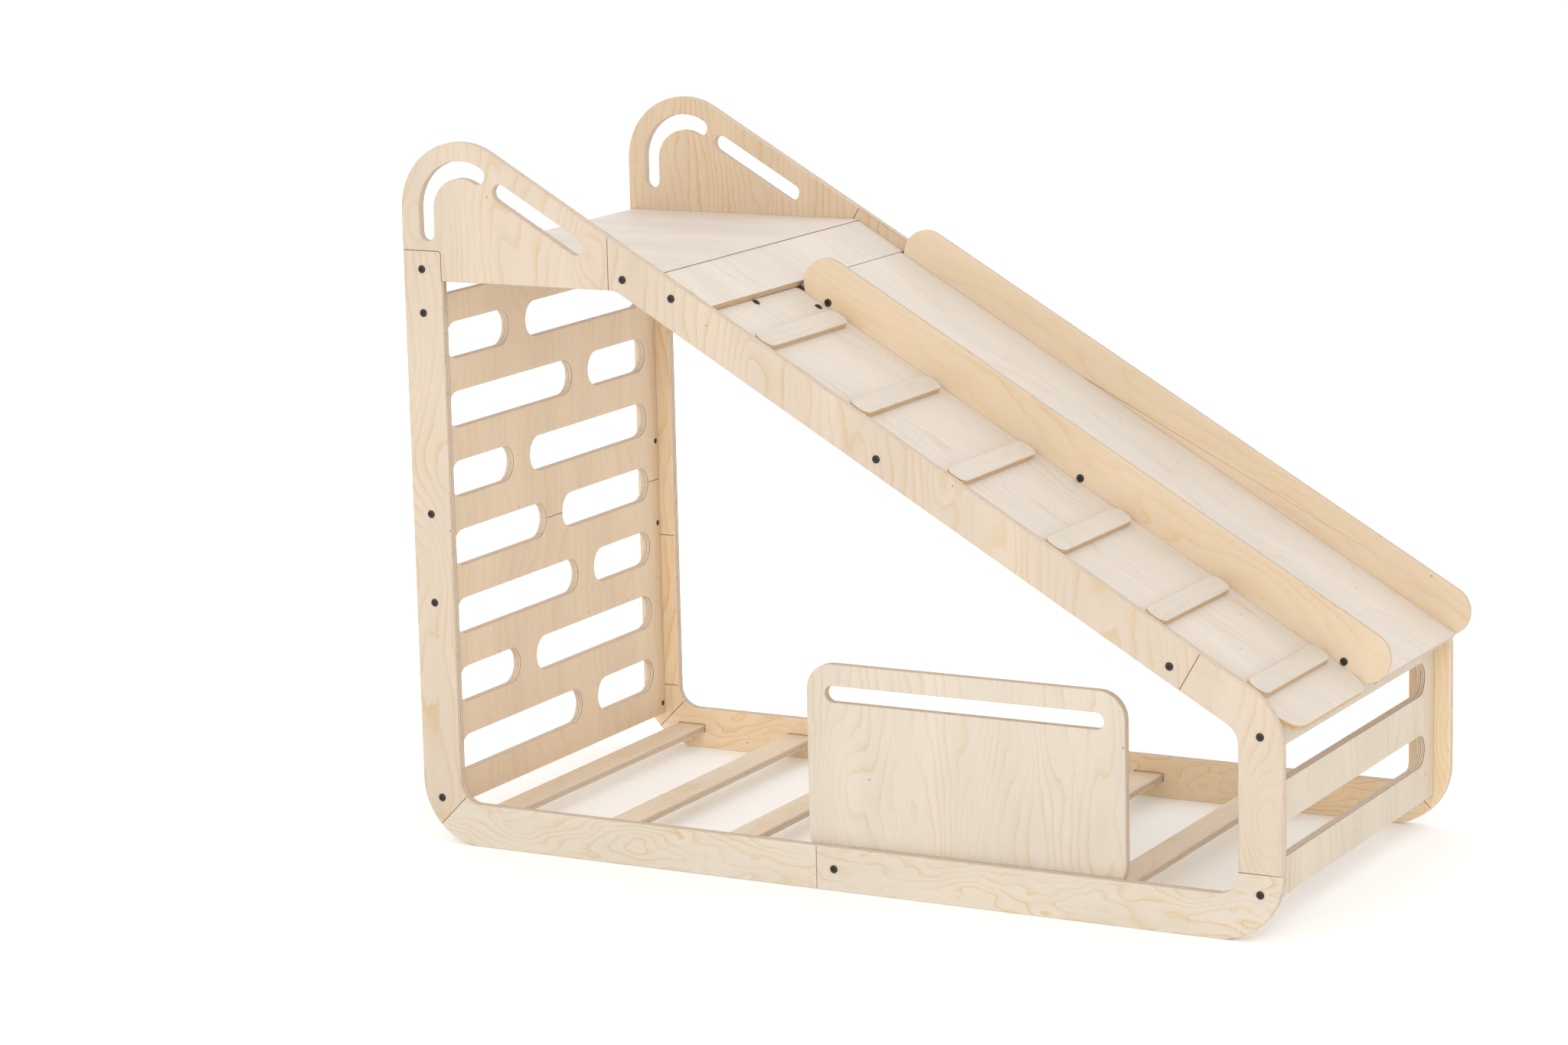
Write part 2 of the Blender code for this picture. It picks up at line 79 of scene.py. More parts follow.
# Patterns of the plywood, in millimetres along and across the grain and through the board.
# The fibre and the pores are coarser than real birch, so that they show.
RIPPLE = (38.0, 24.0)
PATCH = (210.0, 70.0)
FIBRE = (85.0, 2.2)
PORE = (11.0, 1.4)
CLOUD = (520.0, 120.0)
PIN_KNOT = (260.0, 150.0)
PLY_WANDER = (55.0, 55.0, 6.0)
PLY_GAP = (16.0, 16.0, 1.1)
FACE_VENEER = (1.1, 1.7)    # depth over which the face veneer gives way to the plies
VENEER_SHEET = 4000         # half the sheet that every board's veneer is cut from

# Tolerances for cleaning and finishing a mesh
WELD_CAD = 0.02 * MM        # corners of a copied board
WELD = 0.01 * MM            # corners that a bevel or a spin leaves
LEVEL = radians(0.4)        # faces that are flat enough to be one
BOARD_CREASE = radians(40)
STEEL_CREASE = radians(38)
SHORTEST_EDGE = 2.0 * MM    # shorter edges keep their corner
ON_FACE = 0.1 * MM          # how far off a board's face its rim may lie
FACE_LEAN = 0.99            # least cosine to flat of a board's face
SIDE_LEAN = 0.05            # greatest cosine to flat of a board's side

# Stage, in metres
FLOOR_HALF = 40.0
FLOOR_GLOW = 0.1
BOX_PLACE = Vector((1.3, -7.0, 3.3))
BOX_AIM = Vector((0, 0, 0.6))
BOX_SIZE = (6.0, 4.5)
CAMERA_PLACE = (3.5187, -7.1096, 2.1698)
CAMERA_TURN = (radians(78.766), radians(1.310), radians(28.147))
SENSOR = 36.0               # millimetres
FAR_CLIP = 200.0

SIDE_PARTS = ("tall_post", "post_splice", "head_panel", "slope_beam", "short_post",
              "bottom_rail_front", "bottom_rail_rear")


def linear(code):
    """Linear colour, with alpha, from an sRGB hex code."""
    parts = [int(code[i:i + 2], 16) / 255.0 for i in (1, 3, 5)]
    return tuple(c / 12.92 if c <= 0.04045 else ((c + 0.055) / 1.055) ** 2.4
                 for c in parts) + (1.0,)


def spot(x, y, z):
    """Point on the frame from millimetres along, across and up from its near foot."""
    return CORNER + Vector((x, y, z)) * MM


# ---------------------------------------------------------------- settings
class BoardSettings(bpy.types.PropertyGroup):
    """Sizes shared by all the boards."""
    edge_round: bpy.props.FloatProperty(
        name="Edge rounding", description="Radius sanded on every free edge",
        default=2.0 * MM, min=0.0, subtype="DISTANCE", unit="LENGTH")
    seam_round: bpy.props.FloatProperty(
        name="Seam easing", description="Small easing where two boards touch",
        default=0.65 * MM, min=0.0, subtype="DISTANCE", unit="LENGTH")
    touch: bpy.props.FloatProperty(
        name="Touching distance",
        description="Edges closer than this to another board are only eased",
        default=1.1 * MM, min=0.0, subtype="DISTANCE", unit="LENGTH")
    ply_pitch: bpy.props.FloatProperty(
        name="Ply pair", description="Depth of one light and one dark ply",
        default=3.7 * MM, min=0.0, subtype="DISTANCE", unit="LENGTH")


class VeneerSettings(bpy.types.PropertyGroup):
    """Colours of the veneers and of the steel."""
    frame_face: bpy.props.FloatVectorProperty(
        name="Side frames", description="Faces of the side frames",
        default=linear("#CDBDAA"), size=4, subtype="COLOR", min=0.0, max=1.0)
    # Painted lighter than the frame's other faces, to make up for the shade inside the bed.
    frame_inner_painted_light: bpy.props.FloatVectorProperty(
        name="Far frame, inside", description="Inner face of the far side frame",
        default=linear("#EED8B9"), size=4, subtype="COLOR", min=0.0, max=1.0)
    # Painted darker than the rest of the far frame's inside: painted shade against the direct
    # light on the head panel.
    head_inner_painted_shade: bpy.props.FloatVectorProperty(
        name="Far head panel, inside", description="Inner face of the far head panel",
        default=linear("#D0BAA0"), size=4, subtype="COLOR", min=0.0, max=1.0)
    walk: bpy.props.FloatVectorProperty(
        name="Deck, ramp and slide", description="Boards that are walked or slid on",
        default=linear("#DDD3C8"), size=4, subtype="COLOR", min=0.0, max=1.0)
    rung: bpy.props.FloatVectorProperty(
        name="Rungs", description="Faces of the rungs",
        default=linear("#D6CCBF"), size=4, subtype="COLOR", min=0.0, max=1.0)
    wall: bpy.props.FloatVectorProperty(
        name="Climbing wall", description="Faces of the climbing wall",
        default=linear("#E6D1B7"), size=4, subtype="COLOR", min=0.0, max=1.0)
    rail: bpy.props.FloatVectorProperty(
        name="Slide rails", description="Faces of the slide's rails",
        default=linear("#DECAAF"), size=4, subtype="COLOR", min=0.0, max=1.0)
    pale: bpy.props.FloatVectorProperty(
        name="End panel", description="Faces of the low end panel",
        default=linear("#D5C9B7"), size=4, subtype="COLOR", min=0.0, max=1.0)
    guard: bpy.props.FloatVectorProperty(
        name="Guard", description="Faces of the bed guard",
        default=linear("#D0C5B5"), size=4, subtype="COLOR", min=0.0, max=1.0)
    slat: bpy.props.FloatVectorProperty(
        name="Slats", description="Faces of the bed slats",
        default=linear("#E8D7C1"), size=4, subtype="COLOR", min=0.0, max=1.0)
    ring: bpy.props.FloatVectorProperty(
        name="Growth ring", description="Tint that a late wood line gives the veneer",
        default=linear("#F4DA9E"), size=4, subtype="COLOR", min=0.0, max=1.0)
    ply_light: bpy.props.FloatVectorProperty(
        name="Light ply", description="Plies cut along the grain, on the board's edge",
        default=linear("#E0CFBA"), size=4, subtype="COLOR", min=0.0, max=1.0)
    ply_dark: bpy.props.FloatVectorProperty(
        name="Dark ply", description="Plies cut across the grain, on the board's edge",
        default=linear("#80583A"), size=4, subtype="COLOR", min=0.0, max=1.0)
    # Dark colour on the eased edges where two boards touch: partly the real joint line,
    # partly painted contact shade in the joint.
    seam: bpy.props.FloatVectorProperty(
        name="Seam", description="Eased edges in the joint between two boards",
        default=linear("#84654A"), size=4, subtype="COLOR", min=0.0, max=1.0)
    honey: bpy.props.FloatVectorProperty(
        name="Rung and ramp edge", description="Light plies on the edges of the thin boards",
        default=linear("#DDBE96"), size=4, subtype="COLOR", min=0.0, max=1.0)
    steel: bpy.props.FloatVectorProperty(
        name="Black steel", description="Screw heads and barrel nuts",
        default=linear("#2B2A28"), size=4, subtype="COLOR", min=0.0, max=1.0)


class StageSettings(bpy.types.PropertyGroup):
    """Floor, light and camera."""
    floor: bpy.props.FloatVectorProperty(
        name="Floor", description="Plain pale floor",
        default=linear("#FBFBFA"), size=4, subtype="COLOR", min=0.0, max=1.0)
    sky: bpy.props.FloatProperty(
        name="Room light", description="Strength of the even light from all round",
        default=1.08, min=0.0)
    key: bpy.props.FloatProperty(
        name="Soft box", description="Power of the large soft box",
        default=130.0, min=0.0, subtype="POWER", unit="POWER")
    lens: bpy.props.FloatProperty(
        name="Lens", description="Focal length on a 36 mm wide sensor",
        default=101.84, min=1.0, unit="CAMERA")


# ---------------------------------------------------------------- materials
def add(tree, kind, inputs=None, out=0, **settings):
    """Add a shader node, set its options, set or link its inputs, return one output.

    Inputs are named or numbered. A Map Range takes its value at 0, the old range at 1
    and 2 and the new one at 3 and 4; a Mix takes its two colours at 6 and 7.
    """
    made = tree.nodes.new("ShaderNode" + kind)
    for name, value in settings.items():
        setattr(made, name, value)
    for key, value in (inputs or {}).items():
        if isinstance(value, bpy.types.NodeSocket):
            tree.links.new(value, made.inputs[key])
        else:
            made.inputs[key].default_value = value
    return made.outputs[out] if len(made.outputs) else made


def new_material(name):
    """Empty node material and its tree."""
    mat = bpy.data.materials.new(name)
    mat.use_nodes = True
    mat.node_tree.nodes.clear()
    return mat, mat.node_tree


def per(sizes):
    """Scale that makes one pattern unit of sizes in millimetres."""
    return tuple(1 / size for size in sizes) + (0,) * (3 - len(sizes))


def birch_ply(name, face, thick, figure):
    """Birch plywood, rotary-cut face veneer, sanded and lacquered matt.

    The face is cream with soft honey growth lines that wander like contour lines;
    the edge shows the stacked plies as pale and brown stripes. figure changes the
    look below: period, length and breadth of the growth lines in millimetres, how far
    they drift and ripple, their strength, the knots, and the colours of edge and back.
    """
    look = dict(period=26.0, drift=7.0, ripple=0.35, length=420.0, breadth=130.0,
                strength=0.5, knots=(), edge=None, back=None)
    look.update(figure)
    colours = bpy.context.scene.slide_bed_veneers
    pitch = bpy.context.scene.slide_bed_boards.ply_pitch / MM
    mat, t = new_material("birch_plywood_lacquered_" + name)
    board = add(t, "Attribute", attribute_name="board_mm", attribute_type="GEOMETRY", out=1)
    part = t.nodes.new("ShaderNodeSeparateXYZ")
    t.links.new(board, part.inputs[0])
    u, v, w = part.outputs

    # growth rings: a slow wandering height, cut into contour lines
    wide = add(t, "VectorMath", {0: board, 1: per((look["length"], look["breadth"]))},
               operation="MULTIPLY")
    drift = add(t, "TexNoise", {"Vector": wide, "Scale": 1.0, "Detail": 2.0,
                                "Roughness": 0.42}, noise_dimensions="2D")
    near = add(t, "VectorMath", {0: board, 1: per(RIPPLE)}, operation="MULTIPLY")
    ripple = add(t, "TexNoise", {"Vector": near, "Scale": 1.0, "Detail": 3.0,
                                 "Roughness": 0.55}, noise_dimensions="2D")
    height = add(t, "Math", {0: v, 1: 1 / look["period"]}, operation="MULTIPLY")
    height = add(t, "Math", {0: drift, 1: look["drift"], 2: height}, operation="MULTIPLY_ADD")
    height = add(t, "Math", {0: ripple, 1: look["ripple"], 2: height},
                 operation="MULTIPLY_ADD")
    for knot_u, knot_v, size, rise in look["knots"]:
        off = add(t, "VectorMath", {0: board, 1: (knot_u, knot_v, 0)}, operation="SUBTRACT")
        off = add(t, "VectorMath", {0: off, 1: per((2 * size, size))}, operation="MULTIPLY")
        far = add(t, "VectorMath", {0: off, 1: off}, out=1, operation="DOT_PRODUCT")
        fade = add(t, "Math", {0: far, 1: -1.0}, operation="MULTIPLY")
        fade = add(t, "Math", {0: fade}, operation="EXPONENT")
        height = add(t, "Math", {0: fade, 1: rise, 2: height}, operation="MULTIPLY_ADD")
    saw = add(t, "Math", {0: height}, operation="FRACT")
    line = t.nodes.new("ShaderNodeValToRGB")
    ramp = line.color_ramp.elements
    ramp[0].position, ramp[0].color = 0.0, (0.6, 0.6, 0.6, 1)
    ramp[1].position, ramp[1].color = 1.0, (0.6, 0.6, 0.6, 1)
    for place, grey in ((0.07, 0.02), (0.5, 0.08), (0.82, 0.38), (0.96, 1.0)):
        ramp.new(place).color = (grey, grey, grey, 1)
    t.links.new(saw, line.inputs[0])
    patch = add(t, "VectorMath", {0: board, 1: per(PATCH)}, operation="MULTIPLY")
    patch = add(t, "TexNoise", {"Vector": patch, "Scale": 1.0, "Detail": 1.0},
                noise_dimensions="2D")
    patch = add(t, "MapRange", {0: patch, 1: 0.3, 2: 0.7, 3: 0.25, 4: 1.0})
    rings = add(t, "Math", {0: line.outputs[0], 1: patch}, operation="MULTIPLY")
    rings = add(t, "Math", {0: rings, 1: look["strength"]}, operation="MULTIPLY")

    # fibre, pores and slow clouds of tone
    fine = add(t, "VectorMath", {0: board, 1: per(FIBRE)}, operation="MULTIPLY")
    fibre = add(t, "TexNoise", {"Vector": fine, "Scale": 1.0, "Detail": 2.0},
                noise_dimensions="2D")
    dash = add(t, "VectorMath", {0: board, 1: per(PORE)}, operation="MULTIPLY")
    pores = add(t, "TexNoise", {"Vector": dash, "Scale": 1.0, "Detail": 0.0},
                noise_dimensions="2D")
    pores = add(t, "MapRange", {0: pores, 1: 0.70, 2: 0.80, 3: 0.0, 4: 0.05})
    cloud = add(t, "VectorMath", {0: board, 1: per(CLOUD)}, operation="MULTIPLY")
    cloud = add(t, "TexNoise", {"Vector": cloud, "Scale": 1.0, "Detail": 2.0},
                noise_dimensions="2D")
    tone = add(t, "MapRange", {0: cloud, 1: 0.3, 2: 0.7, 3: 0.955, 4: 1.035})
    shade = add(t, "MapRange", {0: fibre, 1: 0.25, 2: 0.75, 3: -0.022, 4: 0.022})
    shade = add(t, "Math", {0: tone, 1: shade}, operation="ADD")
    shade = add(t, "Math", {0: shade, 1: pores}, operation="SUBTRACT")

    # face and back veneer, growth rings, and a few pin knots
    side = add(t, "Math", {0: w, 1: 0.0}, operation="LESS_THAN")
    veneer = add(t, "Mix", {0: side, 6: face, 7: look["back"] or face}, out=2,
                 data_type="RGBA")
    veneer = add(t, "Mix", {0: rings, 6: veneer, 7: colours.ring}, out=2, data_type="RGBA",
                 blend_type="MULTIPLY")
    veneer = add(t, "HueSaturation", {"Saturation": 1.0, "Value": shade, "Color": veneer})
    spread = add(t, "VectorMath", {0: board, 1: per(PIN_KNOT)}, operation="MULTIPLY")
    pin = add(t, "TexVoronoi", {"Vector": spread, "Scale": 1.0}, voronoi_dimensions="2D")
    chance = add(t, "TexVoronoi", {"Vector": spread, "Scale": 1.0}, out=1,
                 voronoi_dimensions="2D")
    chance = add(t, "Math", {0: chance, 1: 0.6}, operation="GREATER_THAN")
    pin = add(t, "MapRange", {0: pin, 1: 0.005, 2: 0.013, 3: 0.7, 4: 0.0})
    pin = add(t, "Math", {0: pin, 1: chance}, operation="MULTIPLY")
    veneer = add(t, "Mix", {0: pin, 6: veneer, 7: colours.ply_dark}, out=2, data_type="RGBA")

    # board edge: plies by depth, each with its own tone, broken up along the edge
    rough = add(t, "VectorMath", {0: board, 1: per(PLY_WANDER)}, operation="MULTIPLY")
    rough = add(t, "TexNoise", {"Vector": rough, "Scale": 1.0, "Detail": 1.0})
    depth = add(t, "Math", {0: w, 1: 1 / pitch, 2: 0.25}, operation="MULTIPLY_ADD")
    depth = add(t, "Math", {0: rough, 1: 0.28, 2: depth}, operation="MULTIPLY_ADD")
    wave = add(t, "Math", {0: depth, 1: 2.0 * pi}, operation="MULTIPLY")
    wave = add(t, "Math", {0: wave}, operation="SINE")
    count = add(t, "Math", {0: depth}, operation="FLOOR")
    own = add(t, "TexWhiteNoise", {"W": count}, noise_dimensions="1D")
    amount = add(t, "MapRange", {0: own, 1: 0.0, 2: 1.0, 3: 0.45, 4: 1.0})
    wave = add(t, "MapRange", {0: wave, 1: 0.0, 2: 0.8, 3: 0.0, 4: 1.0})
    wave = add(t, "Math", {0: wave, 1: amount}, operation="MULTIPLY")
    streak = add(t, "VectorMath", {0: board, 1: per(PLY_GAP)}, operation="MULTIPLY")
    streak = add(t, "TexNoise", {"Vector": streak, "Scale": 1.0, "Detail": 1.0})
    gap = add(t, "MapRange", {0: streak, 1: 0.66, 2: 0.74, 3: 0.0, 4: 0.75})
    wave = add(t, "Math", {0: wave, 1: gap}, operation="ADD", use_clamp=True)
    plies = add(t, "Mix", {0: wave, 6: look["edge"] or colours.ply_light,
                           7: colours.ply_dark}, out=2, data_type="RGBA")
    deep = add(t, "Math", {0: w}, operation="ABSOLUTE")
    skin = add(t, "MapRange", {0: deep, 1: thick / 2 - FACE_VENEER[1],
                               2: thick / 2 - FACE_VENEER[0], 3: 0.0, 4: 1.0})
    colour = add(t, "Mix", {0: skin, 6: plies, 7: veneer}, out=2, data_type="RGBA")
    # eased joint faces take the seam colour: the real dark joint line and painted contact
    # shade
    seam = add(t, "Attribute", attribute_name="seam", attribute_type="GEOMETRY", out=2)
    colour = add(t, "Mix", {0: seam, 6: colour, 7: colours.seam}, out=2, data_type="RGBA")

    gloss = add(t, "MapRange", {0: skin, 1: 0.0, 2: 1.0, 3: 0.72, 4: 0.5})
    relief = add(t, "Math", {0: rings, 1: 0.35, 2: fibre}, operation="MULTIPLY_ADD")
    relief = add(t, "Math", {0: wave, 1: -0.8, 2: relief}, operation="MULTIPLY_ADD")
    bump = add(t, "Bump", {"Strength": 0.22, "Distance": 0.1 * MM, "Height": relief})
    shader = add(t, "BsdfPrincipled", {"Base Color": colour, "Roughness": gloss,
                                       "IOR": 1.5, "Specular IOR Level": 0.35,
                                       "Normal": bump})
    add(t, "OutputMaterial", {"Surface": shader})
    return mat


def black_steel():
    """Steel, chemically blackened: near black, with a soft sheen on the rounded rims."""
    mat, t = new_material("steel_black_oxide")
    where = add(t, "TexCoord", out=3)
    grit = add(t, "TexNoise", {"Vector": where, "Scale": 1 / (0.7 * MM), "Detail": 2.0})
    gloss = add(t, "MapRange", {0: grit, 1: 0.3, 2: 0.7, 3: 0.24, 4: 0.42})
    tint = add(t, "Mix", {0: grit, 6: bpy.context.scene.slide_bed_veneers.steel,
                          7: linear("#3A3835")}, out=2, data_type="RGBA")
    bump = add(t, "Bump", {"Strength": 0.15, "Distance": 0.05 * MM, "Height": grit})
    shader = add(t, "BsdfPrincipled", {"Base Color": tint, "Metallic": 0.55,
                                       "Roughness": gloss, "Normal": bump})
    add(t, "OutputMaterial", {"Surface": shader})
    return mat


def pale_floor():
    """Studio floor, matt white paint with a faint glow, so that shadows stay pale."""
    mat, t = new_material("floor_matt_paint")
    where = add(t, "TexCoord", out=3)
    mottle = add(t, "TexNoise", {"Vector": where, "Scale": 0.6, "Detail": 3.0})
    gloss = add(t, "MapRange", {0: mottle, 1: 0.0, 2: 1.0, 3: 0.85, 4: 0.95})
    shader = add(t, "BsdfPrincipled", {"Base Color": bpy.context.scene.slide_bed_stage.floor,
                                       "Roughness": gloss, "Specular IOR Level": 0.1,
                                       "Emission Color": (1.0, 1.0, 1.0, 1.0),
                                       "Emission Strength": FLOOR_GLOW})
    add(t, "OutputMaterial", {"Surface": shader})
    return mat


# ---------------------------------------------------------------- boards
def neighbours(node):
    """Search tree of every other board, to tell free edges from touching ones."""
    made = bmesh.new()
    low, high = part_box(node)
    for name, obj in NODES.items():
        if name == node or name.startswith("bolt_"):
            continue
        start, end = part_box(name)
        if all(start[i] - 2 * MM < high[i] and end[i] + 2 * MM > low[i] for i in range(3)):
            made.from_mesh(obj.data)
    tree = BVHTree.FromBMesh(made)
    made.free()
    return tree


def rim_edges(bm, flat, middle, thick, near, touch):
    """The sharp edges round a board's two faces: the free ones and the touching ones."""
    free, touching = [], []
    for edge in bm.edges:
        if len(edge.link_faces) != 2 or not edge.is_convex:
            continue
        if edge.calc_length() < SHORTEST_EDGE:
            continue
        lean = sorted(abs(face.normal.dot(flat)) for face in edge.link_faces)
        centre = (edge.verts[0].co + edge.verts[1].co) / 2
        if lean[0] > SIDE_LEAN or lean[1] < FACE_LEAN:
            continue
        if abs(abs(centre.dot(flat) - middle) - thick / 2 * MM) > ON_FACE:
            continue
        hit = near.find_nearest(centre, touch)
        (free if hit[0] is None else touching).append(edge)
    return free, touching


def finish_piece(name, bm, mat, stands_for=()):
    """Turn a bmesh into a named piece that rides on the frame."""
    mesh = bpy.data.meshes.new(name)
    bm.to_mesh(mesh)
    bm.free()
    mesh.materials.append(mat)
    piece = bpy.data.objects.new(name, mesh)
    bpy.context.scene.collection.objects.link(piece)
    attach(piece, "root")
    if stands_for:
        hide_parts(*stands_for)
    return piece


def board(node, flat, grain, face, thick=PLY, middle=None, **figure):
    """Copy a CAD board, sand its free edges round, ease its seams, paint them with the dark
    seam colour, which is partly joint line and partly painted contact shade, and give it
    plywood.

    flat points off the board's face and grain runs along its veneer; middle is the
    board's depth along flat, where a half-lapped piece doesn't show it.
    """
    sizes = bpy.context.scene.slide_bed_boards
    bm = bmesh.new()
    bm.from_mesh(NODES[node].data)
    seam = bm.faces.layers.float.new("seam")
    bmesh.ops.remove_doubles(bm, verts=bm.verts, dist=WELD_CAD)
    bmesh.ops.dissolve_limit(bm, angle_limit=LEVEL, verts=bm.verts, edges=bm.edges)
    depths = [vert.co.dot(flat) for vert in bm.verts]
    if middle is None:
        middle = (min(depths) + max(depths)) / 2
    near = neighbours(node)

    free = rim_edges(bm, flat, middle, thick, near, sizes.touch)[0]
    bmesh.ops.bevel(bm, geom=free, offset=sizes.edge_round, offset_type="OFFSET", segments=3,
                    profile=0.5, affect="EDGES", material=-1, clamp_overlap=False)
    bm.normal_update()
    touching = rim_edges(bm, flat, middle, thick, near, sizes.touch)[1]
    eased = bmesh.ops.bevel(bm, geom=touching, offset=sizes.seam_round, offset_type="OFFSET",
                            segments=1, profile=0.5, affect="EDGES", material=-1,
                            clamp_overlap=False)
    # the eased faces are marked for the dark seam colour, which is partly joint line and
    # partly painted contact shade
    for item in eased["faces"]:
        item[seam] = 1.0
    bmesh.ops.remove_doubles(bm, verts=bm.verts, dist=WELD)
    for item in bm.faces:
        item.smooth = True

    # every board is cut from its own place in the sheet
    cross = flat.cross(grain)
    pick = random.Random(node)
    start = Vector((pick.uniform(-VENEER_SHEET, VENEER_SHEET),
                    pick.uniform(-VENEER_SHEET, VENEER_SHEET)))
    knots = [(point.dot(grain) / MM + start.x, point.dot(cross) / MM + start.y, size, rise)
             for point, size, rise in figure.pop("knots", ())]
    mat = birch_ply(node, face, thick, dict(figure, knots=knots))
    piece = finish_piece(node + "_ply", bm, mat, (node,))
    mesh = piece.data
    mesh.set_sharp_from_angle(angle=BOARD_CREASE)
    where = mesh.attributes.new("board_mm", "FLOAT_VECTOR", "POINT")
    values = []
    for vert in mesh.vertices:
        values += [vert.co.dot(grain) / MM + start.x, vert.co.dot(cross) / MM + start.y,
                   (vert.co.dot(flat) - middle) / MM]
    where.data.foreach_set("vector", values)
    weigh = piece.modifiers.new("even_shading", "WEIGHTED_NORMAL")
    weigh.keep_sharp = True
    return piece


# ---------------------------------------------------------------- operators
class SLIDEBED_OT_side_frames(bpy.types.Operator):
    """Make both side frames from their half-lapped plywood pieces"""
    bl_idname = "slide_bed.side_frames"
    bl_label = "Side frames"

    def execute(self, context):
        colours = context.scene.slide_bed_veneers
        # knots: their place, their size in millimetres and their rise in growth rings
        knots = {
            "near_tall_post": [(spot(12, 0, 697), 60, 3.2), (spot(22, 0, 540), 55, -3.0)],
            "near_bottom_rail_rear": [(spot(445, 0, 35), 38, 3.0)],
            "near_short_post": [(spot(1665, 0, 211), 40, 3.2)],
            "near_head_panel": [(spot(380, 0, 1114), 30, 2.6), (spot(20, 0, 1157), 34, 2.4),
                                (spot(150, 0, 1085), 60, 2.0)],
            "near_slope_beam": [(spot(1080, 0, 758), 24, 2.4), (spot(719, 0, 917), 40, 2.2)],
            "far_short_post": [(spot(1691, 818, 177), 34, 2.4)],
        }
        for side, middle in (("near", PLY / 2), ("far", WIDTH - PLY / 2)):
            depth = spot(0, middle, 0).dot(ACROSS)
            for part in SIDE_PARTS:
                node = side + "_" + part
                if side == "near":
                    faces = dict(face=colours.wall, back=colours.frame_face, strength=0.62)
                else:
                    # the far frame's inside takes a colour painted lighter, against the shade
                    # inside the bed
                    faces = dict(face=colours.pale, back=colours.frame_inner_painted_light, strength=0.8)
                grain = UP
                if "bottom_rail" in part:
                    grain = ALONG
                    faces.update(drift=10.0, breadth=85.0, length=240.0, ripple=0.8)
                if node.startswith("near_bottom_rail"):
                    faces.update(back=colours.guard, strength=0.8)
                # the far head panel and slope beam take a colour painted darker on their
                # inside, against the direct light that falls there
                if node in ("far_head_panel", "far_slope_beam"):
                    faces.update(back=colours.head_inner_painted_shade, period=15.0, ripple=0.6,
                                 strength=0.9)
                board(node, ACROSS, grain, middle=depth, knots=knots.get(node, ()), **faces)
        return {"FINISHED"}


class SLIDEBED_OT_climbing_wall(bpy.types.Operator):
    """Make the two panels of the climbing wall"""
    bl_idname = "slide_bed.climbing_wall"
    bl_label = "Climbing wall"

    def execute(self, context):
        colours = context.scene.slide_bed_veneers
        for node in ("climbing_wall_lower", "climbing_wall_upper"):
            board(node, ALONG, UP, colours.wall, back=colours.pale, strength=0.35,
                  breadth=180.0, period=34.0)
        return {"FINISHED"}


class SLIDEBED_OT_deck(bpy.types.Operator):
    """Make the level deck and the incline below it"""
    bl_idname = "slide_bed.deck"
    bl_label = "Deck and incline"

    def execute(self, context):
        face = context.scene.slide_bed_veneers.walk
        board("deck_board", UP, ALONG, face, strength=0.28, period=34.0)
        board("incline_board", OFF_SLOPE, FALL, face, thick=THIN_PLY, strength=0.4,
              period=24.0, edge=context.scene.slide_bed_veneers.honey)
        return {"FINISHED"}


class SLIDEBED_OT_ramp(bpy.types.Operator):
    """Make the runged ramp and the battens that carry it"""
    bl_idname = "slide_bed.ramp"
    bl_label = "Ramp"

    def execute(self, context):
        colours = context.scene.slide_bed_veneers
        face = colours.walk
        board("ramp_board", OFF_SLOPE, FALL, face, thick=THIN_PLY, edge=colours.honey,
              strength=0.5, period=20.0)
        for i in range(1, 7):
            board("rung_%d" % i, OFF_SLOPE, ACROSS, colours.rung, thick=RUNG,
                  edge=colours.honey, strength=0.3)
        board("head_batten", OFF_SLOPE, ACROSS, face, strength=0.3)
        for place in ("upper", "lower"):
            board("cross_batten_" + place, OFF_SLOPE, ACROSS, face, thick=THIN_PLY,
                  strength=0.3)
        return {"FINISHED"}


class SLIDEBED_OT_slide(bpy.types.Operator):
    """Make the slide's bed and its two rails"""
    bl_idname = "slide_bed.slide"
    bl_label = "Slide"

    def execute(self, context):
        colours = context.scene.slide_bed_veneers
        board("slide_bed", OFF_SLOPE, FALL, colours.walk, thick=THIN_PLY, strength=0.3,
              period=40.0)
        for side in ("near", "far"):
            board("slide_rail_" + side, ACROSS, FALL, colours.rail, thick=THIN_PLY,
                  strength=0.4, period=36.0)
        return {"FINISHED"}


class SLIDEBED_OT_panels(bpy.types.Operator):
    """Make the bed guard and the low end panel"""
    bl_idname = "slide_bed.panels"
    bl_label = "Guard and end panel"

    def execute(self, context):
        colours = context.scene.slide_bed_veneers
        board("bed_guard", ACROSS, UP, colours.wall, back=colours.guard, strength=0.5,
              period=20.0, drift=8.0, ripple=0.5,
              knots=[(spot(870, 18, 180), 60, 3.0)])
        board("end_panel", ALONG, UP, colours.pale, strength=0.5, period=20.0)
        return {"FINISHED"}


class SLIDEBED_OT_slats(bpy.types.Operator):
    """Make the six bed slats"""
    bl_idname = "slide_bed.slats"
    bl_label = "Bed slats"

    def execute(self, context):
        face = context.scene.slide_bed_veneers.slat
        for i in range(1, 7):
            board("bed_slat_%d" % i, UP, ACROSS, face, thick=SLAT, strength=0.35)
        return {"FINISHED"}


def turned(rim, steps):
    """Shape spun from a profile, given as radius and height in millimetres."""
    bm = bmesh.new()
    verts = [bm.verts.new((radius * MM, 0.0, height * MM)) for radius, height in rim]
    chain = [bm.edges.new(pair) for pair in zip(verts, verts[1:])]
    bmesh.ops.spin(bm, geom=verts + chain, cent=(0, 0, 0), axis=(0, 0, 1), dvec=(0, 0, 0),
                   angle=2 * pi, steps=steps, use_merge=True)
    bmesh.ops.remove_doubles(bm, verts=bm.verts, dist=WELD)
    return bm


